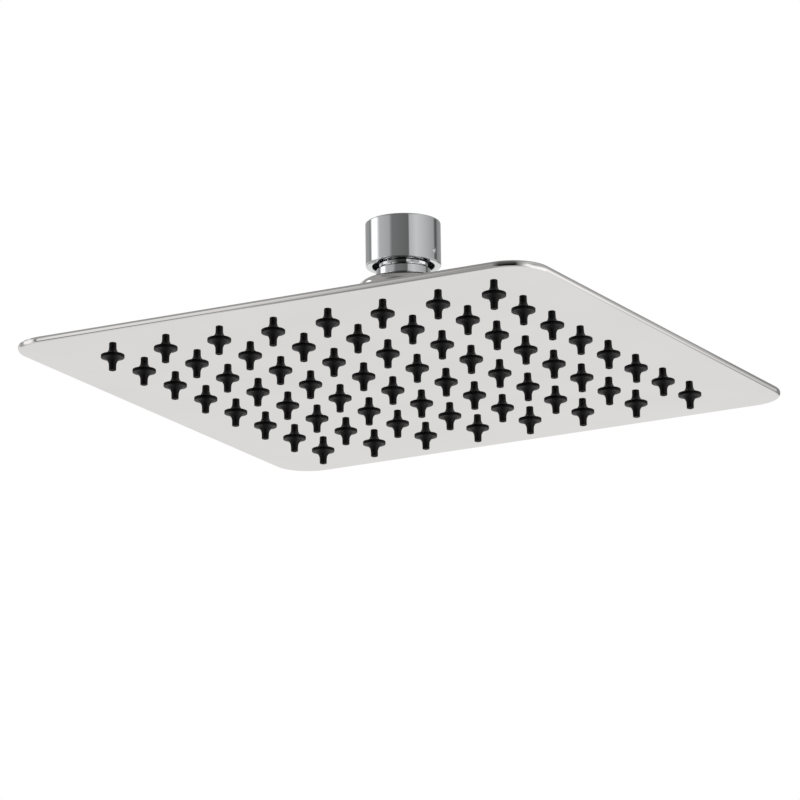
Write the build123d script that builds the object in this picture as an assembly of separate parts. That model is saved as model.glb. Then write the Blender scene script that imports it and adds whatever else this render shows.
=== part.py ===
from build123d import *
import os
from math import cos, radians, sin, sqrt

# Slim square rain shower head on a swivel inlet. Millimetres, +Z up.
# The origin is the centre of the inlet thread's mouth, and the head hangs below it.
# X and Y run along the edges of the plate.

# Plate
PLATE_SIDE = 200.0
PLATE_CORNER_R = 13.5
EDGE_HEIGHT = 2.2  # plate thickness seen at the edge
EDGE_ROUND_R = 1.1  # rolled outer edge of the face
EDGE_TOP_R = 0.9  # rolled upper edge of the rim
SHEET = 0.6  # stainless sheet of face and back
CROWN = 1.65  # bulge of the face at its middle
WATER_INLET_R = 10.0  # hole in the back plate, under the bell

# Spray nozzles
NOZZLES_PER_ROW = 8
NOZZLE_MARGIN = 27.0  # outer nozzles' centres to the plate's edge
NOZZLE_HOLE_R = 2.0  # hole in the face plate
NOZZLE_FLANGE_R = 4.05
NOZZLE_FLANGE = 0.6
NOZZLE_LENGTH = 4.95  # face to tip
NOZZLE_ROOT_R = 1.35
NOZZLE_ROOT_ROUND = 1.9  # hollow sweep from nub to flange
NOZZLE_TIP_R = 1.2
NOZZLE_JET_R = 0.6  # bore at the tip
NOZZLE_FUNNEL_R = 1.1  # bore inside the head
NOZZLE_BARB = 0.4  # grip of the barb past the hole
NOZZLE_BARB_HEIGHT = 0.6

# Inlet bell
BELL_HEIGHT = 31.2  # back plate to the stem's seat
BELL_WALL = 0.8
BELL_SEAT_MARGIN = 1.8  # flat seat beyond the stem's flange
BELL_SHOULDER_R = 4.8
BELL_FLARE = 5.0  # how much wider the foot is than the shoulder
BELL_FOOT_R = 8.0  # concave curve into the weld flange
BELL_FLANGE = 3.0  # weld flange beyond the foot

# Ball stem, its gasket and lock nut
BALL_R = 7.6
BALL_TOP = 1.4  # flat top above the ball's centre
STEM_BORE_R = 4.0
STEM_NECK_R = 5.4
STEM_FLANGE_R = 9.4
STEM_FLANGE_HEIGHT = 3.2
STEM_EDGE_R = 0.4
STEM_GROOVE = 0.7  # between the flange and the ring above it
STEM_GROOVE_DEPTH = 1.2
STEM_RING = 0.8
STEM_RING_INSET = 0.7  # ring's edge to the flange's edge
STEM_RING_TAPER = 0.35  # how much narrower the ring is at its foot
SHANK_R = 6.0
SHANK_PAST_NUT = 1.0
GASKET = 0.8
GASKET_INSET = 0.2
LOCK_NUT_FLATS = 17.0
LOCK_NUT_HEIGHT = 4.0

# Swivel nut, from the thread's mouth down
THREAD_R = 9.316  # G1/2 female, at the crests
THREAD_LENGTH = 5.6
WASHER = 2.0
WASHER_LEDGE = 1.3  # ledge that the washer lies on
SEAT_RING_WALL = 1.6
SEAT_WRAP = 30.4  # degrees that the seat reaches below the ball's equator
SEAT_LAND = 0.3
SEAL_RISE = 0.3  # seal's centre above the ball's centre
LIP = 0.7  # lip under the seat ring
LIP_WIDTH = 1.3
NUT_RIM = 2.23  # wall round the recess
NUT_TOP_EDGE_R = 0.6
NUT_LOW_EDGE_R = 0.4
NECK_GAP = 1.2  # nut to the stem's flange
TILT = 8.0  # degrees to each side
SPANNER_HOLE_R = 0.9
SPANNER_HOLE_DEPTH = 1.5
SPANNER_HOLE_RISE = 3.6  # above the nut's lower face
SPANNER_HOLE_ANGLE = -6.0  # degrees from +X

# Filter screen in the washer
SCREEN = 0.3
SCREEN_GRIP = 0.5  # how far it reaches into the washer
SCREEN_LOW = 0.4  # below the washer's top
SCREEN_HOLE_R = 0.7
SCREEN_PITCH = 2.7

# Clearances
FIT = 0.05  # turned and moulded pieces, and the welded plate
SEAT_GAP = 0.02  # pieces that lie on one another
SWIVEL_GAP = 0.35  # stem to the nut's recess at full tilt

# Levels of the inlet, from the thread's mouth down
washer_top = -THREAD_LENGTH - FIT
washer_low = washer_top - WASHER
seat_r = BALL_R + FIT
seat_ring_r = seat_r + SEAT_RING_WALL
seat_bore_r = seat_ring_r + FIT
# the seal's section fills the space between the ball and the nut's bore
seal_reach, seal_inner = seat_bore_r - SEAT_GAP, BALL_R + SEAT_GAP
seal_section_r = (seal_reach**2 + SEAL_RISE**2 - seal_inner**2) / (2 * (seal_reach + seal_inner))
seal_z = washer_low - SEAT_GAP - seal_section_r
ball_z = seal_z - SEAL_RISE
seat_ring_top = seal_z - seal_section_r - SEAT_GAP
seat_mouth_r = seat_r * cos(radians(SEAT_WRAP))
seat_arc_low = ball_z - seat_r * sin(radians(SEAT_WRAP))
seat_ring_low = seat_arc_low - SEAT_LAND
lip_top = seat_ring_low - FIT
lip_low = lip_top - LIP

# Levels of the stem, bell and plate; at full tilt the ring's upper edge just clears the nut's lip
tilt_cos, tilt_sin = cos(radians(TILT)), sin(radians(TILT))
stem_ring_r = STEM_FLANGE_R - STEM_RING_INSET
stem_groove_r = stem_ring_r - STEM_GROOVE_DEPTH
ring_top = ball_z - (ball_z - lip_low + SWIVEL_GAP + stem_ring_r * tilt_sin) / tilt_cos
ring_low = ring_top - STEM_RING
flange_top = ring_low - STEM_GROOVE
nut_low = flange_top + NECK_GAP
flange_low = flange_top - STEM_FLANGE_HEIGHT
gasket_low = flange_low - SEAT_GAP - GASKET
bell_top = gasket_low - SEAT_GAP
lock_nut_top = bell_top - BELL_WALL - SEAT_GAP
lock_nut_low = lock_nut_top - LOCK_NUT_HEIGHT
shank_low = lock_nut_low - SHANK_PAST_NUT
plate_top = bell_top - BELL_HEIGHT
face_z = plate_top - EDGE_HEIGHT

# Radii that follow from what they clear or hold
lip_r = seat_bore_r - LIP_WIDTH
washer_groove_r = seat_bore_r + WASHER_LEDGE
recess_r = STEM_FLANGE_R * tilt_cos + (ball_z - flange_top) * tilt_sin + SWIVEL_GAP
nut_r = recess_r + NUT_RIM
washer_bore_r = BALL_R + 3 * FIT
bell_r = STEM_FLANGE_R + BELL_SEAT_MARGIN + BELL_SHOULDER_R

plate_half = PLATE_SIDE / 2
nozzle_pitch = (PLATE_SIDE - 2 * NOZZLE_MARGIN) / (NOZZLES_PER_ROW - 1)


def turned(outline):
    """Solid of revolution about Z from a closed outline of (radius, height)."""
    return revolve(Plane.XZ * make_face(outline), Axis.Z)


def ring(inner_r, outer_r, low, top):
    return turned(Polyline((inner_r, low), (outer_r, low), (outer_r, top), (inner_r, top), close=True))


def rounded_slab(side, corner_r, low, top):
    return Pos(0, 0, low) * extrude(RectangleRounded(side, side, corner_r), top - low)


def round_edges(solid, radius, edge_r):
    """Rounds the solid's outer circular edges of that radius."""
    edges = [e for e in solid.edges().filter_by(GeomType.CIRCLE) if abs(e.radius - radius) < 1e-6]
    return fillet(edges, edge_r)


# Crowned face: z falls from the straight edges to the middle as a product of two parabolas
def crown_height(x, y):
    return face_z - CROWN * (1 - (x / plate_half) ** 2) * (1 - (y / plate_half) ** 2)


def crown_normal(x, y):
    slope_x = 2 * CROWN * x / plate_half**2 * (1 - (y / plate_half) ** 2)
    slope_y = 2 * CROWN * y / plate_half**2 * (1 - (x / plate_half) ** 2)
    return (-slope_x, -slope_y, 1)


def above_crown(lift):
    """Everything above the crowned face raised by lift, as a block wider than the plate."""
    reach = plate_half + PLATE_CORNER_R
    beyond = (reach / plate_half) ** 2
    poles = ((-reach, 1 - beyond), (0, 1 + beyond), (reach, 1 - beyond))
    surface = Face.make_bezier_surface(
        [[(x, y, face_z + lift - CROWN * a * b) for y, b in poles] for x, a in poles]
    )
    return extrude(surface, amount=plate_half, dir=(0, 0, 1))


nozzle_places = [
    [
        Plane(origin=(x, y, crown_height(x, y)), z_dir=crown_normal(x, y)).location
        for x in (column * nozzle_pitch - plate_half + NOZZLE_MARGIN for column in range(NOZZLES_PER_ROW))
    ]
    for y in (row * nozzle_pitch - plate_half + NOZZLE_MARGIN for row in range(NOZZLES_PER_ROW))
]

# Face plate: a shallow tray whose floor is the crowned face
below_face = face_z - 2 * CROWN - SHEET
face_block = above_crown(0) & rounded_slab(PLATE_SIDE, PLATE_CORNER_R, below_face, plate_top)
face_block = fillet(face_block.faces().sort_by(Axis.Z)[0].edges(), EDGE_ROUND_R)
face_block = fillet(face_block.faces().sort_by(Axis.Z)[-1].edges(), EDGE_TOP_R)
inner_side, inner_corner_r = PLATE_SIDE - 2 * SHEET, PLATE_CORNER_R - SHEET
chamber = above_crown(SHEET) & rounded_slab(inner_side, inner_corner_r, below_face, plate_top + SHEET)
nozzle_hole = Cylinder(NOZZLE_HOLE_R, 4 * SHEET)
nozzle_holes = [place * nozzle_hole for row in nozzle_places for place in row]
face_plate = face_block - chamber - nozzle_holes

# Back plate: flat sheet inside the rim
back_plate = rounded_slab(inner_side - 2 * FIT, inner_corner_r - FIT, plate_top - SHEET, plate_top)
back_plate -= Pos(0, 0, plate_top) * Cylinder(WATER_INLET_R, 4 * SHEET)

# Inlet bell: drawn from sheet, so one line with an even wall
bell_low = plate_top + SEAT_GAP
bell_foot_r = bell_r + BELL_FLARE
bell_line = FilletPolyline(
    (SHANK_R + FIT, bell_top),
    (bell_r, bell_top),
    (bell_foot_r, bell_low + BELL_WALL),
    (bell_foot_r + BELL_FOOT_R + BELL_FLANGE, bell_low + BELL_WALL),
    radius=(BELL_SHOULDER_R, BELL_FOOT_R),
)
inlet_bell = turned(offset(bell_line, BELL_WALL, side=Side.RIGHT))

# Ball stem: ball, neck, ring and flange turned from one bar, threaded shank below
ball_top_r = sqrt(BALL_R**2 - BALL_TOP**2)
neck_z = ball_z - sqrt(BALL_R**2 - STEM_NECK_R**2)
ball_arc = ThreePointArc((ball_top_r, ball_z + BALL_TOP), (BALL_R, ball_z), (STEM_NECK_R, neck_z))
stem_line = Polyline(
    (STEM_NECK_R, neck_z),
    (STEM_NECK_R, ring_top),
    (stem_ring_r, ring_top),
    (stem_ring_r - STEM_RING_TAPER, ring_low),
    (stem_groove_r, ring_low),
    (stem_groove_r, flange_top),
    (STEM_FLANGE_R, flange_top),
    (STEM_FLANGE_R, flange_low),
    (SHANK_R, flange_low),
    (SHANK_R, shank_low),
    (STEM_BORE_R, shank_low),
    (STEM_BORE_R, ball_z + BALL_TOP),
    (ball_top_r, ball_z + BALL_TOP),
)
ball_stem = round_edges(turned(ball_arc + stem_line), STEM_FLANGE_R, STEM_EDGE_R)

stem_gasket = ring(SHANK_R + FIT, STEM_FLANGE_R - GASKET_INSET, gasket_low, gasket_low + GASKET)
lock_nut_face = RegularPolygon(LOCK_NUT_FLATS / 2, 6, major_radius=False) - Circle(SHANK_R + FIT)
stem_lock_nut = Pos(0, 0, lock_nut_low) * extrude(lock_nut_face, LOCK_NUT_HEIGHT)

# Swivel nut: thread, washer groove, seat bore, lip and recess in one stepped bore
nut_line = Polyline(
    (THREAD_R, 0),
    (nut_r, 0),
    (nut_r, nut_low),
    (recess_r, nut_low),
    (recess_r, lip_low),
    (lip_r, lip_low),
    (lip_r, lip_top),
    (seat_bore_r, lip_top),
    (seat_bore_r, washer_low - SEAT_GAP),
    (washer_groove_r, washer_low - SEAT_GAP),
    (washer_groove_r, -THREAD_LENGTH),
    (THREAD_R, -THREAD_LENGTH),
    close=True,
)
swivel_nut = turned(nut_line)
nut_rims = swivel_nut.edges().filter_by(GeomType.CIRCLE).group_by(SortBy.RADIUS)[-1].sort_by(Axis.Z)
swivel_nut = fillet(nut_rims[-1], NUT_TOP_EDGE_R)
nut_rims = swivel_nut.edges().filter_by(GeomType.CIRCLE).group_by(SortBy.RADIUS)[-1].sort_by(Axis.Z)
swivel_nut = fillet(nut_rims[0], NUT_LOW_EDGE_R)
spanner_hole = Pos(nut_r, 0, nut_low + SPANNER_HOLE_RISE) * Rot(0, 90, 0) * Cylinder(
    SPANNER_HOLE_R, 2 * SPANNER_HOLE_DEPTH
)
swivel_nut -= [Rot(0, 0, SPANNER_HOLE_ANGLE + turn) * spanner_hole for turn in (0, 180)]

# Seat ring under the ball, seal round it
seat_top_r = sqrt(seat_r**2 - (seat_ring_top - ball_z) ** 2)
seat_middle = radians(SEAT_WRAP / 2)
seat_arc = ThreePointArc(
    (seat_top_r, seat_ring_top),
    (seat_r * cos(seat_middle), ball_z - seat_r * sin(seat_middle)),
    (seat_mouth_r, seat_arc_low),
)
seat_line = Polyline(
    (seat_mouth_r, seat_arc_low),
    (seat_mouth_r, seat_ring_low),
    (seat_ring_r, seat_ring_low),
    (seat_ring_r, seat_ring_top),
    (seat_top_r, seat_ring_top),
)
ball_seat_ring = turned(seat_arc + seat_line)
ball_seal = Pos(0, 0, seal_z) * Torus(seal_reach - seal_section_r, seal_section_r)

# Filter washer with the screen held in its bore
screen_r = washer_bore_r + SCREEN_GRIP
screen_top = washer_top - SCREEN_LOW
screen_low = screen_top - SCREEN
filter_washer = ring(washer_bore_r, washer_groove_r - 6 * FIT, washer_low, washer_top)
filter_washer -= ring(0, screen_r, screen_low - SEAT_GAP, screen_top + SEAT_GAP)
screen_face = Circle(screen_r - FIT) - Circle(SCREEN_HOLE_R)
for circle in (1, 2):
    screen_face -= PolarLocations(circle * SCREEN_PITCH, 6 * circle) * Circle(SCREEN_HOLE_R)
filter_screen = Pos(0, 0, screen_low) * extrude(screen_face, SCREEN)

# Nozzles: flange outside, neck in the hole, barb inside, tapered jet bore
neck_r = NOZZLE_HOLE_R - FIT
barb_low = SHEET + 2 * SEAT_GAP
nub_line = FilletPolyline(
    (NOZZLE_TIP_R, -NOZZLE_LENGTH),
    (NOZZLE_ROOT_R, -NOZZLE_FLANGE),
    (NOZZLE_FLANGE_R, -NOZZLE_FLANGE),
    radius=NOZZLE_ROOT_ROUND,
)
stud_line = Polyline(
    (NOZZLE_FLANGE_R, -NOZZLE_FLANGE),
    (NOZZLE_FLANGE_R, 0),
    (neck_r, 0),
    (neck_r, barb_low),
    (NOZZLE_HOLE_R + NOZZLE_BARB, barb_low),
    (NOZZLE_FUNNEL_R, barb_low + NOZZLE_BARB_HEIGHT),
    (NOZZLE_JET_R, -NOZZLE_LENGTH),
    (NOZZLE_TIP_R, -NOZZLE_LENGTH),
)
nozzle = Pos(0, 0, -SEAT_GAP) * turned(nub_line + stud_line)

nodes = {
    "face_plate": face_plate,
    "back_plate": back_plate,
    "inlet_bell": inlet_bell,
    "ball_stem": ball_stem,
    "stem_gasket": stem_gasket,
    "stem_lock_nut": stem_lock_nut,
    "swivel_nut": swivel_nut,
    "ball_seat_ring": ball_seat_ring,
    "ball_seal": ball_seal,
    "filter_washer": filter_washer,
    "filter_screen": filter_screen,
}
for number, places in enumerate(nozzle_places, start=1):
    nodes[f"nozzle_row_{number}"] = Compound(children=[place * nozzle for place in places])

os.makedirs("parts", exist_ok=True)
for name, shape in nodes.items():
    shape.label = name
    export_step(shape, f"parts/{name}.step")
print("inlet mouth to face", round(-face_z, 2), "nut radius", round(nut_r, 2), "ball centre", round(ball_z, 2))
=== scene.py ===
from math import acos, asin, atan2, ceil, cos, pi, radians, sin, sqrt, tan, tau

import bpy
from mathutils import Matrix, Vector
from mathutils.geometry import delaunay_2d_cdt


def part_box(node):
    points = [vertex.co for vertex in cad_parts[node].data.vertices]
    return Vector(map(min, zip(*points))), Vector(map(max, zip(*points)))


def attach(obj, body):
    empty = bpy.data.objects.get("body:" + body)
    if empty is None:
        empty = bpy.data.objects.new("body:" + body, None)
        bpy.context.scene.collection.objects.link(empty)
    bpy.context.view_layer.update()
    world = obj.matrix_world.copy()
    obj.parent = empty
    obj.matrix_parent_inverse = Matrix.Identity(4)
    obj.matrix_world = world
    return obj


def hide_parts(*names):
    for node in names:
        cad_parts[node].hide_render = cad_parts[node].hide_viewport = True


# Looks, light and camera for the square rain shower head. Metres, +Z up, in the part's own frame.
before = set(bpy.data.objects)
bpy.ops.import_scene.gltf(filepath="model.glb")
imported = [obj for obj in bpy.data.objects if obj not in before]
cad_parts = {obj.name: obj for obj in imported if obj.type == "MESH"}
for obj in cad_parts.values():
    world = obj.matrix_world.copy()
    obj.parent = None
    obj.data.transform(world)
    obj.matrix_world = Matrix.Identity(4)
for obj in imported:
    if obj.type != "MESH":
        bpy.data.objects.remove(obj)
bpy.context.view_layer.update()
MM = 0.001

# Sizes that the frame's boxes don't tell
FIT = 0.05 * MM
SEAT_GAP = 0.02 * MM

# Plate
CORNER_R = 13.5 * MM
EDGE_HEIGHT = 2.2 * MM
EDGE_ROUND_R = 1.1 * MM
EDGE_TOP_R = 0.9 * MM
SHEET = 0.6 * MM

# Nozzles
PER_ROW = 8
NOZZLE_MARGIN = 27.0 * MM
HOLE_R = 2.0 * MM
NOZZLE_FLANGE_R = 4.05 * MM
NOZZLE_FLANGE = 0.6 * MM
NOZZLE_LENGTH = 4.95 * MM
NOZZLE_ROOT_R = 1.35 * MM
NOZZLE_ROOT_ROUND = 2.45 * MM
NOZZLE_TIP_R = 1.25 * MM
NOZZLE_JET_R = 0.6 * MM
NOZZLE_FUNNEL_R = 1.1 * MM
NOZZLE_BARB_R = 2.4 * MM
NOZZLE_BARB_HEIGHT = 0.6 * MM
NOZZLE_JET_ROUND = 0.08 * MM
NOZZLE_TIP_ROUND = 0.25 * MM
NOZZLE_FLANGE_ROUND = 0.25 * MM
NOZZLE_SEAT_ROUND = 0.15 * MM
NOZZLE_BARB_ROUND = 0.1 * MM

# Swivel nut
NUT_RIM = 2.23 * MM
NUT_TOP_ROUND = 0.6 * MM
NUT_LOW_ROUND = 0.4 * MM
RECESS_ROUND = 0.25 * MM
RECESS_CORNER_ROUND = 0.3 * MM
BORE_ROUND = 0.1 * MM
LIP = 0.7 * MM
LEDGE = 1.3 * MM
THREAD_MINOR_R = 9.316 * MM
THREAD_DEPTH = 1.162 * MM
THREAD_PITCH = 1.814 * MM
SPANNER_HOLE_R = 0.9 * MM
SPANNER_HOLE_DEPTH = 0.4 * MM  # of its straight wall
DRILL_SLOPE = radians(31)
SPANNER_HOLE_RISE = 3.6 * MM
SPANNER_HOLE_ANGLE = radians(-6)
SPANNER_HOLE_EDGE = 0.14 * MM

# Camera, fitted to the nozzle grid and the plate's edges
VIEW_AZIMUTH = radians(28.339)
VIEW_ELEVATION = radians(-15.409)
VIEW_ROLL = radians(-0.75)
VIEW_DISTANCE = 2.2159
AIM_RIGHT = radians(0.0436)
AIM_UP = radians(0.2236)
PICTURE_SIDE = 800  # pixels
FOCAL_PIXELS = 6457

# Levels and places from the frame
plate_low, plate_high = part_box("face_plate")
plate_half, plate_top = plate_high.x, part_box("back_plate")[1].z
face_z = plate_top - EDGE_HEIGHT
crown = face_z - plate_low.z
nut_low, nut_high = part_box("swivel_nut")
nut_r, nut_bottom = nut_high.x, nut_low.z
washer_low, washer_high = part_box("filter_washer")
seat_low, seat_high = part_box("ball_seat_ring")
nozzle_row = [
    (plate_half - NOZZLE_MARGIN) * (2 * place / (PER_ROW - 1) - 1) for place in range(PER_ROW)
]
nozzle_places = [[(x, y) for x in nozzle_row] for y in nozzle_row]


def crown_height(x, y):
    """Height of the crowned face, a product of two parabolas."""
    return face_z - crown * (1 - (x / plate_half) ** 2) * (1 - (y / plate_half) ** 2)


def crown_normal(x, y):
    """Downward normal of the crowned face."""
    slope_x = 2 * crown * x / plate_half**2 * (1 - (y / plate_half) ** 2)
    slope_y = 2 * crown * y / plate_half**2 * (1 - (x / plate_half) ** 2)
    return Vector((slope_x, slope_y, -1)).normalized()


# Meshes
# A surface is a list of faces, each a list of (place, normal) corners.
ARC_STEP = radians(12)
SMOOTH = Vector((0, 0, 0))  # a normal that the mesh works out itself
TINY = 1e-9  # metres
MERGE_DIGITS = 8  # corners that agree in so many decimals of a metre are one
INSIDE_ONLY = 1  # makes delaunay_2d_cdt give the triangles inside the border


def outline(*corners):
    """Rounded outline through corners (radius, height, rounding), anticlockwise.

    Gives (place, normal before, normal after) for each of its points. The ends of an open outline have no
    rounding.
    """
    points = []
    for i, (r, z, rounding) in enumerate(corners):
        here = Vector((r, z))
        back = (Vector(corners[i - 1][:2]) - here).normalized()
        on = (Vector(corners[(i + 1) % len(corners)][:2]) - here).normalized()
        before, after = Vector((-back.y, back.x)), Vector((on.y, -on.x))
        if not rounding:
            points.append((here, before, after))
            continue
        turn = atan2(before.x * after.y - before.y * after.x, before.dot(after))
        side = 1 if turn > 0 else -1
        centre = here + back * rounding * tan(abs(turn) / 2) - before * rounding * side
        steps = ceil(abs(turn) / ARC_STEP)
        for k in range(steps + 1):
            a = turn * k / steps
            normal = Vector((before.x * cos(a) - before.y * sin(a), before.x * sin(a) + before.y * cos(a)))
            points.append((centre + normal * rounding * side, normal, normal))
    return points


def around(flat, angle):
    """Turns a (radius, height) vector to that angle about Z."""
    return Vector((flat.x * cos(angle), flat.x * sin(angle), flat.y))


def circle(steps):
    """Angles of that many even steps round a circle."""
    return [tau * k / steps for k in range(steps)]


def lathe(points, segments, closed=True):
    """Surface of revolution about Z from an outline's points."""
    faces = []
    angles = [*circle(segments), 0.0]
    pairs = list(zip(points, points[1:] + points[:1]))
    for (p, _, p_out), (q, q_in, _) in pairs if closed else pairs[:-1]:
        if (q - p).length < TINY:
            continue
        for a, b in zip(angles, angles[1:]):
            low = [(around(p, a), around(p_out, a)), (around(p, b), around(p_out, b))]
            high = [(around(q, b), around(q_in, b)), (around(q, a), around(q_in, a))]
            faces.append(low + high)
    return faces


def band(rings):
    """Closed strips between rings of (place, normal)."""
    faces = []
    for low, high in zip(rings, rings[1:]):
        for s in range(len(low)):
            t = (s + 1) % len(low)
            faces.append([low[s], low[t], high[t], high[s]])
    return faces


def moved(surface, matrix):
    turn = matrix.to_3x3()
    return [[(matrix @ place, turn @ normal) for place, normal in face] for face in surface]


def sheet(border, holes, loose, lift):
    """Triangles over a flat border with round holes, lifted to (place, normal) by lift(u, v)."""
    flat = [Vector(p) for p in border]
    edges = [(i, (i + 1) % len(border)) for i in range(len(border))]
    for hole in holes:
        start = len(flat)
        flat += [Vector(p) for p in hole]
        edges += [(start + i, start + (i + 1) % len(hole)) for i in range(len(hole))]
    flat += [Vector(p) for p in loose]
    centres = [sum((Vector(p) for p in hole), Vector((0, 0))) / len(hole) for hole in holes]
    reaches = [(Vector(hole[0]) - centre).length for hole, centre in zip(holes, centres)]
    spots, _, triangles, *_ = delaunay_2d_cdt(flat, edges, [], INSIDE_ONLY, TINY)
    faces = []
    for triangle in triangles:
        middle = sum((spots[i] for i in triangle), Vector((0, 0))) / 3
        if all((middle - centre).length > reach for centre, reach in zip(centres, reaches)):
            faces.append([lift(*spots[i]) for i in triangle])
    return faces


def piece(name, coats, body, slot, *replaced):
    """Mesh object from (surface, material) coats, which rides on a body and stands for CAD nodes."""
    mesh = bpy.data.meshes.new(name)
    places, index, faces, normals, numbers = [], {}, [], [], []
    for number, (surface, material) in enumerate(coats):
        mesh.materials.append(material)
        for face in surface:
            corners = []
            for place, normal in face:
                key = tuple(round(c, MERGE_DIGITS) for c in place)
                if key not in index:
                    index[key] = len(places)
                    places.append(place)
                if index[key] not in corners:
                    corners.append(index[key])
                    normals.append(normal)
            faces.append(corners)
            numbers.append(number)
    mesh.from_pydata(places, [], faces, shade_flat=False)
    mesh.normals_split_custom_set(normals)
    mesh.polygons.foreach_set("material_index", numbers)
    obj = bpy.data.objects.new(name, mesh)
    bpy.context.scene.collection.objects.link(obj)
    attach(obj, body)
    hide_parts(*replaced)


# Materials
NOISE_LOW, NOISE_HIGH = 0.3, 0.7  # nearly all of the noise lies between these


def new_material(name, **values):
    """Principled material with the shader's sockets set; returns it and its shader."""
    material = bpy.data.materials.new(name)
    material.use_nodes = True
    shader = material.node_tree.nodes["Principled BSDF"]
    for socket, value in values.items():
        shader.inputs[socket.replace("_", " ")].default_value = value
    return material, shader


def noise(material, scale, detail=2.0, stretch=(1, 1, 1)):
    """Noise over the object, in waves per metre."""
    tree = material.node_tree
    place = tree.nodes.new("ShaderNodeTexCoord")
    mapping = tree.nodes.new("ShaderNodeMapping")
    mapping.inputs["Scale"].default_value = stretch
    texture = tree.nodes.new("ShaderNodeTexNoise")
    texture.inputs["Scale"].default_value = scale
    texture.inputs["Detail"].default_value = detail
    tree.links.new(place.outputs["Object"], mapping.inputs["Vector"])
    tree.links.new(mapping.outputs["Vector"], texture.inputs["Vector"])
    return texture.outputs["Fac"]


def spread(material, factor, low, high):
    """A number from low to high that follows the factor."""
    node = material.node_tree.nodes.new("ShaderNodeMapRange")
    node.inputs["From Min"].default_value = NOISE_LOW
    node.inputs["From Max"].default_value = NOISE_HIGH
    node.inputs["To Min"].default_value = low
    node.inputs["To Max"].default_value = high
    material.node_tree.links.new(factor, node.inputs["Value"])
    return node.outputs["Result"]


def tones(material, factor, dark, light):
    """A colour from dark to light that follows the factor."""
    node = material.node_tree.nodes.new("ShaderNodeValToRGB")
    first, last = node.color_ramp.elements
    first.position, first.color = NOISE_LOW, (*dark, 1)
    last.position, last.color = NOISE_HIGH, (*light, 1)
    material.node_tree.links.new(factor, node.inputs["Fac"])
    return node.outputs["Color"]


def bump(material, shader, factor, height):
    node = material.node_tree.nodes.new("ShaderNodeBump")
    node.inputs["Strength"].default_value = 1.0
    node.inputs["Distance"].default_value = height
    material.node_tree.links.new(factor, node.inputs["Height"])
    material.node_tree.links.new(node.outputs["Normal"], shader.inputs["Normal"])


def finish_with(material, shader, colour, roughness):
    material.node_tree.links.new(colour, shader.inputs["Base Color"])
    material.node_tree.links.new(roughness, shader.inputs["Roughness"])
    return material


def polished_metal(name, dark, light, smooth, worn, ripple):
    """Mirror metal: faint cloudiness, fine polishing haze and a slow ripple of the sheet."""
    material, shader = new_material(name, Metallic=1.0)
    cloud = noise(material, scale=35, detail=4)
    haze = noise(material, scale=900, detail=3, stretch=(1, 0.12, 1))
    bump(material, shader, noise(material, scale=28, detail=1), ripple)
    colour = tones(material, cloud, dark, light)
    return finish_with(material, shader, colour, spread(material, haze, smooth, worn))


def rubber(name, dark, light, smooth, rough, grain, **values):
    """Soft moulded black: slight bloom in tone and a fine moulded grain."""
    material, shader = new_material(name, **values)
    bloom = noise(material, scale=400, detail=4)
    patches = noise(material, scale=1500, detail=3)
    bump(material, shader, noise(material, scale=6000, detail=2), grain)
    colour = tones(material, bloom, dark, light)
    return finish_with(material, shader, colour, spread(material, patches, smooth, rough))


def turned_metal(name, dark, light, smooth, rough, groove):
    """Machined metal with fine turning lines across Z."""
    material, shader = new_material(name, Metallic=1.0)
    stain = noise(material, scale=300, detail=3)
    lines = noise(material, scale=60, detail=3, stretch=(1, 1, 90))
    bump(material, shader, lines, groove)
    colour = tones(material, stain, dark, light)
    return finish_with(material, shader, colour, spread(material, lines, smooth, rough))


stainless = polished_metal(
    "polished_stainless", dark=(0.775, 0.765, 0.75), light=(0.80, 0.79, 0.775),
    smooth=0.015, worn=0.035, ripple=0.004 * MM,
)
chrome = polished_metal(
    "chromed_brass", dark=(0.74, 0.75, 0.76), light=(0.77, 0.78, 0.79),
    smooth=0.015, worn=0.03, ripple=0.002 * MM,
)
# painted shade: the collar's bore and recess get a near-black colour that stands in for the shade falling
# inside them; the turning lines in roughness and bump are real
painted_shade_bore = turned_metal(
    "painted_shade_bore", dark=(0.03, 0.03, 0.03), light=(0.06, 0.06, 0.06),
    smooth=0.3, rough=0.45, groove=0.003 * MM,
)
silicone = rubber(
    "nozzle_silicone", dark=(0.002, 0.002, 0.0023), light=(0.004, 0.004, 0.0045),
    smooth=0.38, rough=0.52, grain=0.003 * MM, Specular_IOR_Level=0.16,
)
seal = rubber(
    "seal_rubber", dark=(0.012, 0.012, 0.012), light=(0.022, 0.022, 0.021),
    smooth=0.55, rough=0.75, grain=0.006 * MM,
)
plastic = rubber(
    "seat_plastic", dark=(0.010, 0.010, 0.010), light=(0.018, 0.018, 0.018),
    smooth=0.3, rough=0.45, grain=0.003 * MM,
)
brass = turned_metal(
    "bare_brass", dark=(0.62, 0.46, 0.20), light=(0.72, 0.55, 0.27),
    smooth=0.18, rough=0.34, groove=0.01 * MM,
)
screen = turned_metal(
    "screen_steel", dark=(0.50, 0.50, 0.49), light=(0.60, 0.60, 0.59),
    smooth=0.2, rough=0.35, groove=0.003 * MM,
)
for node, material in {
    "back_plate": stainless,
    "inlet_bell": stainless,
    "ball_stem": chrome,
    "stem_gasket": seal,
    "stem_lock_nut": brass,
    "ball_seat_ring": plastic,
    "ball_seal": seal,
    "filter_washer": seal,
    "filter_screen": screen,
}.items():
    for material_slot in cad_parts[node].material_slots:
        material_slot.material = material

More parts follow.
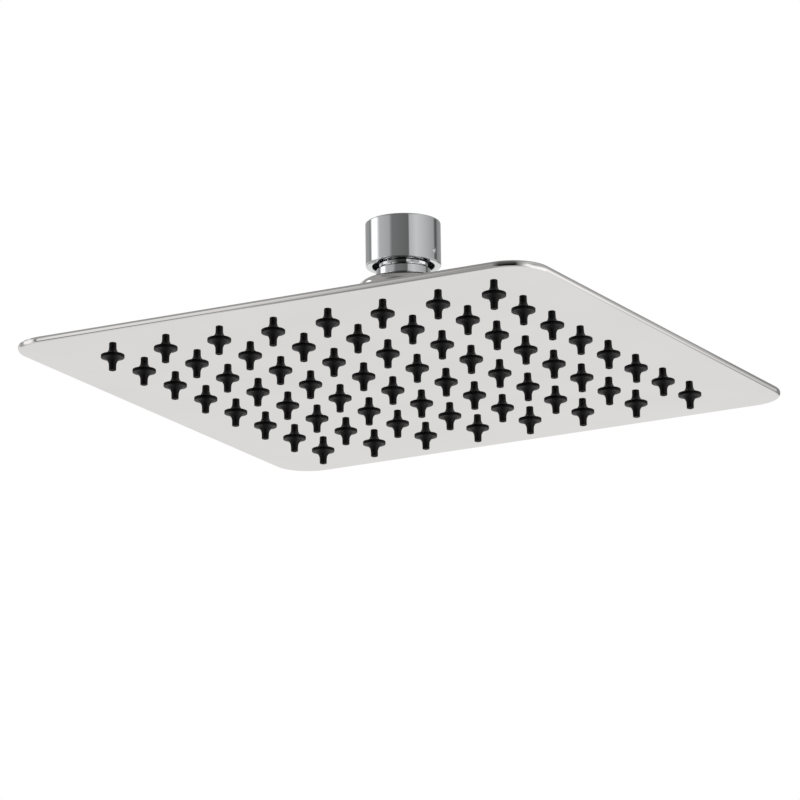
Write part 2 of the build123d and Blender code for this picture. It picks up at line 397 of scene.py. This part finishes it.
# Spray nozzles: tip, nub and flange outside the face; neck, barb and funnel inside
NOZZLE_STEPS = 48
neck_r = HOLE_R - FIT
barb_z = SHEET + 2 * SEAT_GAP
nozzle = lathe(
    outline(
        (NOZZLE_JET_R, -NOZZLE_LENGTH, NOZZLE_JET_ROUND),
        (NOZZLE_TIP_R, -NOZZLE_LENGTH, NOZZLE_TIP_ROUND),
        (NOZZLE_ROOT_R, -NOZZLE_FLANGE, NOZZLE_ROOT_ROUND),
        (NOZZLE_FLANGE_R, -NOZZLE_FLANGE, NOZZLE_FLANGE_ROUND),
        (NOZZLE_FLANGE_R, 0, NOZZLE_SEAT_ROUND),
        (neck_r, 0, 0),
        (neck_r, barb_z, 0),
        (NOZZLE_BARB_R, barb_z, NOZZLE_BARB_ROUND),
        (NOZZLE_FUNNEL_R, barb_z + NOZZLE_BARB_HEIGHT, NOZZLE_BARB_ROUND),
    ),
    NOZZLE_STEPS,
)
for number, row in enumerate(nozzle_places, start=1):
    surface = []
    for x, y in row:
        upward = -crown_normal(x, y)
        turn = Vector((0, 0, 1)).rotation_difference(upward).to_matrix().to_4x4()
        seat = Vector((x, y, crown_height(x, y))) - upward * SEAT_GAP
        surface += moved(nozzle, Matrix.Translation(seat) @ turn)
    piece(f"spray_nozzles_{number}", [(surface, silicone)], "head", "nozzle_silicone", f"nozzle_row_{number}")

# Face sheet
CORNER_STEPS = 18
SIDE_STEPS = 36
HOLE_STEPS = 24
HOLE_RING_R = 2.4 * HOLE_R  # of the points that keep the triangles round a hole even
hole_spots = [place for row in nozzle_places for place in row]


def square_loop(inset):
    """(place, outward) round the plate's outline at that inset, corner arcs and straight sides."""
    loop = []
    reach, arc_r = plate_half - CORNER_R, CORNER_R - inset
    for side in circle(4):
        corner_at = Vector((cos(side + pi / 4), sin(side + pi / 4))) * sqrt(2) * reach
        for k in range(CORNER_STEPS + 1):
            angle = side + pi / 2 * k / CORNER_STEPS
            out = Vector((cos(angle), sin(angle)))
            loop.append((corner_at + out * arc_r, out))
        along = Vector((-out.y, out.x))
        for k in range(1, SIDE_STEPS):
            loop.append((out * (plate_half - inset) + along * reach * (2 * k / SIDE_STEPS - 1), out))
    return loop


def ring_round(x, y, r):
    return [(x + r * cos(a), y + r * sin(a)) for a in circle(HOLE_STEPS)]


def crowned(inset, rise, facing):
    """The crowned sheet's face at that inset and rise above the outside, facing 1 outward or -1 inward."""
    border = [place for place, _ in square_loop(inset)]
    holes = [ring_round(x, y, HOLE_R) for x, y in hole_spots]
    pitch = nozzle_row[1] - nozzle_row[0]
    loose = []
    for x, y in hole_spots:
        loose += ring_round(x, y, HOLE_RING_R)
        loose += [(x + dx * pitch / 2, y + dy * pitch / 2) for dx, dy in ((1, 1), (1, 0), (0, 1))]

    def lift(u, v):
        return Vector((u, v, crown_height(u, v) + rise)), crown_normal(u, v) * facing

    surface = sheet(border, holes, loose, lift)
    return surface if facing < 0 else [face[::-1] for face in surface]


def rim_ring(inset, height, tilt, from_face):
    """Ring of the rim at an inset; height counts from the face's edge or from the plate's top."""
    ring = []
    for (place, out), (edge, _) in zip(square_loop(inset), square_loop(EDGE_ROUND_R)):
        z = (crown_height(*edge) if from_face else plate_top) + height
        ring.append((Vector((*place, z)), Vector((*(out * cos(tilt)), sin(tilt)))))
    return ring


def hole_wall(x, y):
    """Inner wall of a nozzle's hole through the sheet."""
    rings = []
    for rise in (SHEET, 0):
        ring = []
        for a, (u, v) in zip(circle(HOLE_STEPS), ring_round(x, y, HOLE_R)):
            ring.append((Vector((u, v, crown_height(u, v) + rise)), Vector((-cos(a), -sin(a), 0))))
        rings.append(ring)
    return band(rings)


# rolled rim: from the face round the edge and over to the sheet's inner side
LOW_STEPS = 10
TOP_STEPS = 8
top_end = acos(1 - SHEET / EDGE_TOP_R)
rim = [
    rim_ring(EDGE_ROUND_R * (1 - cos(a)), EDGE_ROUND_R * (1 + sin(a)), a, from_face=True)
    for a in (pi / 2 * (k / LOW_STEPS - 1) for k in range(LOW_STEPS + 1))
]
rim += [
    rim_ring(EDGE_TOP_R * (1 - cos(a)), EDGE_TOP_R * (sin(a) - 1), a, from_face=False)
    for a in (top_end * k / TOP_STEPS for k in range(TOP_STEPS + 1))
]
inner_top = [(place, Vector((-n.x, -n.y, 0)).normalized()) for place, n in rim[-1]]
inner_low = [(Vector((p.x, p.y, crown_height(p.x, p.y) + SHEET)), n) for p, n in inner_top]
plate = crowned(EDGE_ROUND_R, rise=0, facing=1) + crowned(SHEET, rise=SHEET, facing=-1)
plate += band(rim) + band([inner_top, inner_low])
for x, y in hole_spots:
    plate += hole_wall(x, y)
piece("face_sheet", [(plate, stainless)], "head", "polished_stainless", "face_plate")

# Swivel collar
NUT_STEPS = 128
SPANNER_STEPS = 32
SPANNER_EDGE_STEPS = 4
NUT_ROWS = 8
THREAD_ROWS = 60

thread_low = washer_high.z + FIT
groove_low = washer_low.z - SEAT_GAP
seat_bore_r = seat_high.x + FIT
groove_r = seat_bore_r + LEDGE
lip_top = seat_low.z - FIT
lip_r = seat_bore_r - LEDGE
recess_r = nut_r - NUT_RIM
wall_low, wall_high = nut_bottom + NUT_LOW_ROUND, -NUT_TOP_ROUND

# the mouth's ring, the bore below the thread, and the underside round to the outer wall
mouth_line = outline((nut_r, wall_high, 0), (nut_r, 0, NUT_TOP_ROUND), (groove_r, 0, 0))
bore_line = outline(
    (groove_r, thread_low, 0),
    (groove_r, groove_low, 0),
    (seat_bore_r, groove_low, BORE_ROUND),
    (seat_bore_r, lip_top, BORE_ROUND),
    (lip_r, lip_top, BORE_ROUND),
    (lip_r, lip_top - LIP, BORE_ROUND),
    (recess_r, lip_top - LIP, RECESS_CORNER_ROUND),
    (recess_r, nut_bottom + RECESS_ROUND, 0),
)
under_line = outline(
    (recess_r, nut_bottom + RECESS_ROUND, 0),
    (recess_r, nut_bottom, RECESS_ROUND),
    (nut_r, nut_bottom, NUT_LOW_ROUND),
    (nut_r, wall_low, 0),
)
nut = lathe(mouth_line, NUT_STEPS, closed=False) + lathe(under_line, NUT_STEPS, closed=False)
bore = lathe(bore_line, NUT_STEPS, closed=False)

# outer wall, unrolled, with the two hook-spanner holes
hole_z = nut_bottom + SPANNER_HOLE_RISE
hole_angles = [SPANNER_HOLE_ANGLE % tau, SPANNER_HOLE_ANGLE + pi]


def hole_ring(angle, r, depth):
    """Ring of a spanner hole at a depth under the wall: its places, and the same unrolled."""
    places, unrolled = [], []
    for a in circle(SPANNER_STEPS):
        across, z = r * cos(a), hole_z + r * sin(a)
        flat = Matrix.Rotation(angle, 3, "Z") @ Vector((sqrt(nut_r**2 - across**2) - depth, across, 0))
        places.append(Vector((flat.x, flat.y, z)))
        unrolled.append((nut_r * (angle + asin(across / nut_r)), z))
    return places, unrolled


def spanner_hole(angle):
    """A hole's rounded edge, its wall and its drilled floor."""
    axis, middle = around(Vector((1, 0)), angle), Vector((0, 0, hole_z))
    rings = []
    for a in (pi / 2 * k / SPANNER_EDGE_STEPS for k in range(SPANNER_EDGE_STEPS + 1)):
        r = SPANNER_HOLE_R + SPANNER_HOLE_EDGE * (1 - sin(a))
        places, _ = hole_ring(angle, r, SPANNER_HOLE_EDGE * (1 - cos(a)))
        spokes = [(p - axis * p.dot(axis) - middle).normalized() for p in places]
        rings.append([(p, axis * cos(a) - spoke * sin(a)) for p, spoke in zip(places, spokes)])
    places, _ = hole_ring(angle, SPANNER_HOLE_R, SPANNER_HOLE_DEPTH)
    rings.append([(p, normal) for p, (_, normal) in zip(places, rings[-1])])
    slope = [(p, axis * cos(DRILL_SLOPE) + normal * sin(DRILL_SLOPE)) for p, normal in rings[-1]]
    tip = axis * (nut_r - SPANNER_HOLE_DEPTH - SPANNER_HOLE_R * tan(DRILL_SLOPE)) + middle
    floor = [[p, q, (tip, p[1] + q[1])] for p, q in zip(slope, slope[1:] + slope[:1])]
    return band(rings) + floor


def rolled(u, v):
    """Rolls a point of the unrolled wall up again; its place and outward normal."""
    return around(Vector((nut_r, v)), u / nut_r), around(Vector((1, 0)), u / nut_r)


border = [(nut_r * a, wall_low) for a in (*circle(NUT_STEPS), tau)]
border += [(u, wall_high) for u, _ in reversed(border)]
wall_holes = [hole_ring(angle, SPANNER_HOLE_R + SPANNER_HOLE_EDGE, 0)[1] for angle in hole_angles]
wall_rows = [wall_low + (wall_high - wall_low) * k / NUT_ROWS for k in range(1, NUT_ROWS)]
wall_points = [(nut_r * a, z) for a in circle(NUT_STEPS) for z in wall_rows]
nut += sheet(border, wall_holes, wall_points, rolled)
for angle in hole_angles:
    nut += spanner_hole(angle)

# inch pipe thread with a chamfered mouth, as a grid over the bore
thread = []
for k in range(THREAD_ROWS + 1):
    z = thread_low * k / THREAD_ROWS
    ring = []
    for a in circle(NUT_STEPS):
        flank = abs(2 * ((z / THREAD_PITCH + a / tau) % 1) - 1)
        eased = flank * flank * (3 - 2 * flank)
        r = max(THREAD_MINOR_R + THREAD_DEPTH * eased, groove_r + z)
        ring.append((around(Vector((r, z)), a), SMOOTH))
    thread.append(ring)
thread.append([(around(Vector((groove_r, thread_low)), a), SMOOTH) for a in circle(NUT_STEPS)])
nut += band(thread)
# the bore's coat is painted shade: near black for the shade inside the collar
piece("swivel_collar", [(nut, chrome), (bore, painted_shade_bore)], "connector", "chromed_brass", "swivel_nut")

# Stage
FLOOR_Z = -6.0
FLOOR_SIDE = 120.0
WALL_R = 0.9
WALL_STEP = 1.0  # degrees
EDGE_WALL_TOP = 17.6  # degrees above the face, as the next two
COLLAR_WALL_TOP = 21.5
WALL_TOP = 62.0
LEFT_LEAN = -4  # degrees round that the left sheet leans lower down
CEILING_LEVELS = (0.2, 0.32, 0.42, 0.27)  # at its corners, lighter to the picture's right
GROUND_Z = -1.65
GROUND_LEVELS = (0.25, 0.0, 1.0, 0.4)  # at its corners: left, near, right and far

centre = Vector((0, 0, face_z))
level_back = Vector((sin(VIEW_AZIMUTH), -cos(VIEW_AZIMUTH), 0))
level_right = Vector((cos(VIEW_AZIMUTH), sin(VIEW_AZIMUTH), 0))
back = level_back * cos(VIEW_ELEVATION) + Vector((0, 0, sin(VIEW_ELEVATION)))
level_up = back.cross(level_right)
right = cos(VIEW_ROLL) * level_right + sin(VIEW_ROLL) * level_up
up = cos(VIEW_ROLL) * level_up - sin(VIEW_ROLL) * level_right
aim_back = (back + AIM_RIGHT * right + AIM_UP * up).normalized()
aim_right = up.cross(aim_back).normalized()
aim_up = aim_back.cross(aim_right)

camera_data = bpy.data.cameras.new("camera")
camera = bpy.data.objects.new("camera", camera_data)
bpy.context.scene.collection.objects.link(camera)
aim = Matrix((aim_right, aim_up, aim_back)).transposed().to_4x4()
camera.matrix_world = Matrix.Translation(centre + back * VIEW_DISTANCE) @ aim
camera_data.lens = camera_data.sensor_width * FOCAL_PIXELS / PICTURE_SIDE
bpy.context.scene.camera = camera
bpy.context.scene.view_settings.view_transform = "Standard"

world = bpy.data.worlds.new("studio")
bpy.context.scene.world = world
world.use_nodes = True
world.node_tree.nodes["Background"].inputs["Color"].default_value = (1, 1, 1, 1)


def stage_object(name, mesh, material):
    mesh.materials.append(material)
    obj = bpy.data.objects.new(name, mesh)
    bpy.context.scene.collection.objects.link(obj)
    return obj


def level_square(name, half, z):
    mesh = bpy.data.meshes.new(name)
    corners = [(-half, -half, z), (half, -half, z), (half, half, z), (-half, half, z)]
    mesh.from_pydata(corners, [], [(0, 1, 2, 3)])
    return mesh


paper, paper_shader = new_material("floor", Specular_IOR_Level=0.0)
paper_tones = tones(paper, noise(paper, scale=0.5), dark=(0.82, 0.82, 0.815), light=(0.84, 0.84, 0.835))
paper_roughness = spread(paper, noise(paper, scale=3), low=0.8, high=0.95)
finish_with(paper, paper_shader, paper_tones, paper_roughness)
stage_object("floor", level_square("floor", FLOOR_SIDE / 2, FLOOR_Z), paper)


def glow(name, mesh, levels):
    """Stage object that only reflections see, as bright at each of its points as levels says."""
    mesh.attributes.new("level", "FLOAT", "POINT").data.foreach_set("value", levels)
    material = bpy.data.materials.new(name)
    material.use_nodes = True
    tree = material.node_tree
    tree.nodes.remove(tree.nodes["Principled BSDF"])
    emission, level = tree.nodes.new("ShaderNodeEmission"), tree.nodes.new("ShaderNodeAttribute")
    level.attribute_name = "level"
    tree.links.new(level.outputs["Fac"], emission.inputs["Strength"])
    tree.links.new(emission.outputs["Emission"], tree.nodes["Material Output"].inputs["Surface"])
    obj = stage_object(name, mesh, material)
    obj.visible_camera = obj.visible_diffuse = obj.visible_shadow = False


def level_at(stops, angle):
    """Brightness at that angle, along straight lines between the stops (angle, level)."""
    for (a, start), (b, end) in zip(stops, stops[1:]):
        if a <= angle <= b:
            return start + (end - start) * (angle - a) / (b - a)
    raise ValueError(f"no stops round {angle}")


def leaning(stops, by):
    """The same stops, that many degrees further round."""
    return [(angle + by, level) for angle, level in stops]


def wall(name, *rows):
    """Curved studio wall that only reflections see, lit from within.

    Each row is (height, stops): its height in degrees above the plate's face, and the stops
    (angle, brightness) along it, with the angle in degrees round from the camera to the picture's right.
    """
    _, first_stops = rows[0]
    start, end = first_stops[0][0], first_stops[-1][0]
    steps = ceil((end - start) / WALL_STEP)
    places, levels, faces = [], [], []
    for k in range(steps + 1):
        angle = start + (end - start) * k / steps
        way = cos(radians(angle)) * level_back + sin(radians(angle)) * level_right
        for height, stops in rows:
            places.append(centre + (way + Vector((0, 0, tan(radians(height))))) * WALL_R)
            levels.append(level_at(stops, angle))
    count = len(rows)
    for k in range(steps):
        for row in range(count - 1):
            low = k * count + row
            faces.append((low, low + count, low + count + 1, low + 1))
    mesh = bpy.data.meshes.new(name)
    mesh.from_pydata(places, [], faces)
    glow(name, mesh, levels)


# what the collar and the stem's flange mirror: a soft box on the left, a dim room behind the camera
COLLAR_STOPS = (
    (-180, 0.4), (-128, 0.36), (-124, 0.26), (-118, 0.26), (-109, 1.4), (-90, 1.4), (-78, 0.55),
    (-44, 0.45), (-34, 0.2), (16, 0.15), (19, 0.55), (40, 0.7),
    (106, 0.4), (113, 0.12), (122, 0.12), (128, 0.3), (180, 0.4),
)
wall("collar_wall", (EDGE_WALL_TOP, COLLAR_STOPS), (COLLAR_WALL_TOP, COLLAR_STOPS))

# upper room, dim round the camera; its paler strip lights the stem's ring by way of the back plate
UPPER_STOPS = (
    (-180, 0.25), (-120, 0.4), (-60, 0.37), (-35, 0.14), (12, 0.1), (40, 0.4), (60, 0.6), (100, 0.6),
    (115, 0.35), (180, 0.25),
)
BOX_STOPS = ((-180, 0.25), (-128, 0.4), (-125, 1.6), (-105, 1.6), (-102, 0.4), *UPPER_STOPS[2:])
STRIP_STOPS = (
    (-180, 0.85), (-82, 0.85), (-58, 0.3), (-50, 0.05), (13, 0.05), (17, 0.9), (58, 0.9),
    (66, 0.4), (180, 0.4),
)
wall(
    "upper_wall",
    (COLLAR_WALL_TOP, UPPER_STOPS), (26, UPPER_STOPS), (28, STRIP_STOPS), (32, STRIP_STOPS),
    (34, UPPER_STOPS), (38, UPPER_STOPS), (39, BOX_STOPS), (44, BOX_STOPS),
    (45, UPPER_STOPS), (WALL_TOP, UPPER_STOPS),
)

# what the plate's edges mirror: white sheets left and right, darkness round the camera and past both sheets
LEFT_STOPS = (
    (-126, 0.5), (-112, 0.35), (-102, 1.15), (-76, 1.1), (-67, 0.25),
    (-62, 0.25), (-61, 0.95), (-55, 0.85), (-46, 0.3),
)
EDGE_STOPS = (
    (-130, 0.5), *LEFT_STOPS, (-30, 0.1), (12, 0.08),
    (40, 0.7), (57, 0.4), (121, 0.55), (122, 0.27), (155, 0.3),
)
SKIRT_STOPS = (
    (-130, 0.5), *LEFT_STOPS, (-30, 0.03), (12, 0.0),
    (43, 1.2), (60, 0.7), (112, 1.2), (118, 0.6), (121, 0.6), (122, 0.25), (155, 0.25),
)
APRON_STOPS = (
    *leaning(LEFT_STOPS, LEFT_LEAN), (-30, 0.03), (12, 0.0),
    (43, 1.2), (60, 0.8), (112, 1.25), (127, 1.25), (131, 0.35), (155, 0.3),
)
GROUND_STOPS = (
    (-130, 0.5), (-104, 1.0), (-94, 1.0), (-88, 0.05), (-86, 0.05), (-80, 0.4), (-70, 0.2),
    (-64, 0.5), (-56, 0.4), (-40, 0.02), (12, 0.0), (36, 0.3), (46, 1.2), (155, 1.25),
)
wall(
    "edge_wall",
    (-75, GROUND_STOPS), (-38, GROUND_STOPS), (-24, APRON_STOPS), (-6, SKIRT_STOPS),
    (5, EDGE_STOPS), (EDGE_WALL_TOP, EDGE_STOPS),
)
glow("ground", level_square("ground", WALL_R, GROUND_Z), GROUND_LEVELS)
FAR_STOPS = ((155, 0.3), (165, 0.3), (180, 0.5), (200, 0.8), (230, 0.6))
wall("far_wall", (0, FAR_STOPS), (EDGE_WALL_TOP, FAR_STOPS))
glow("ceiling", level_square("ceiling", WALL_R, face_z + WALL_R * tan(radians(WALL_TOP))), CEILING_LEVELS)
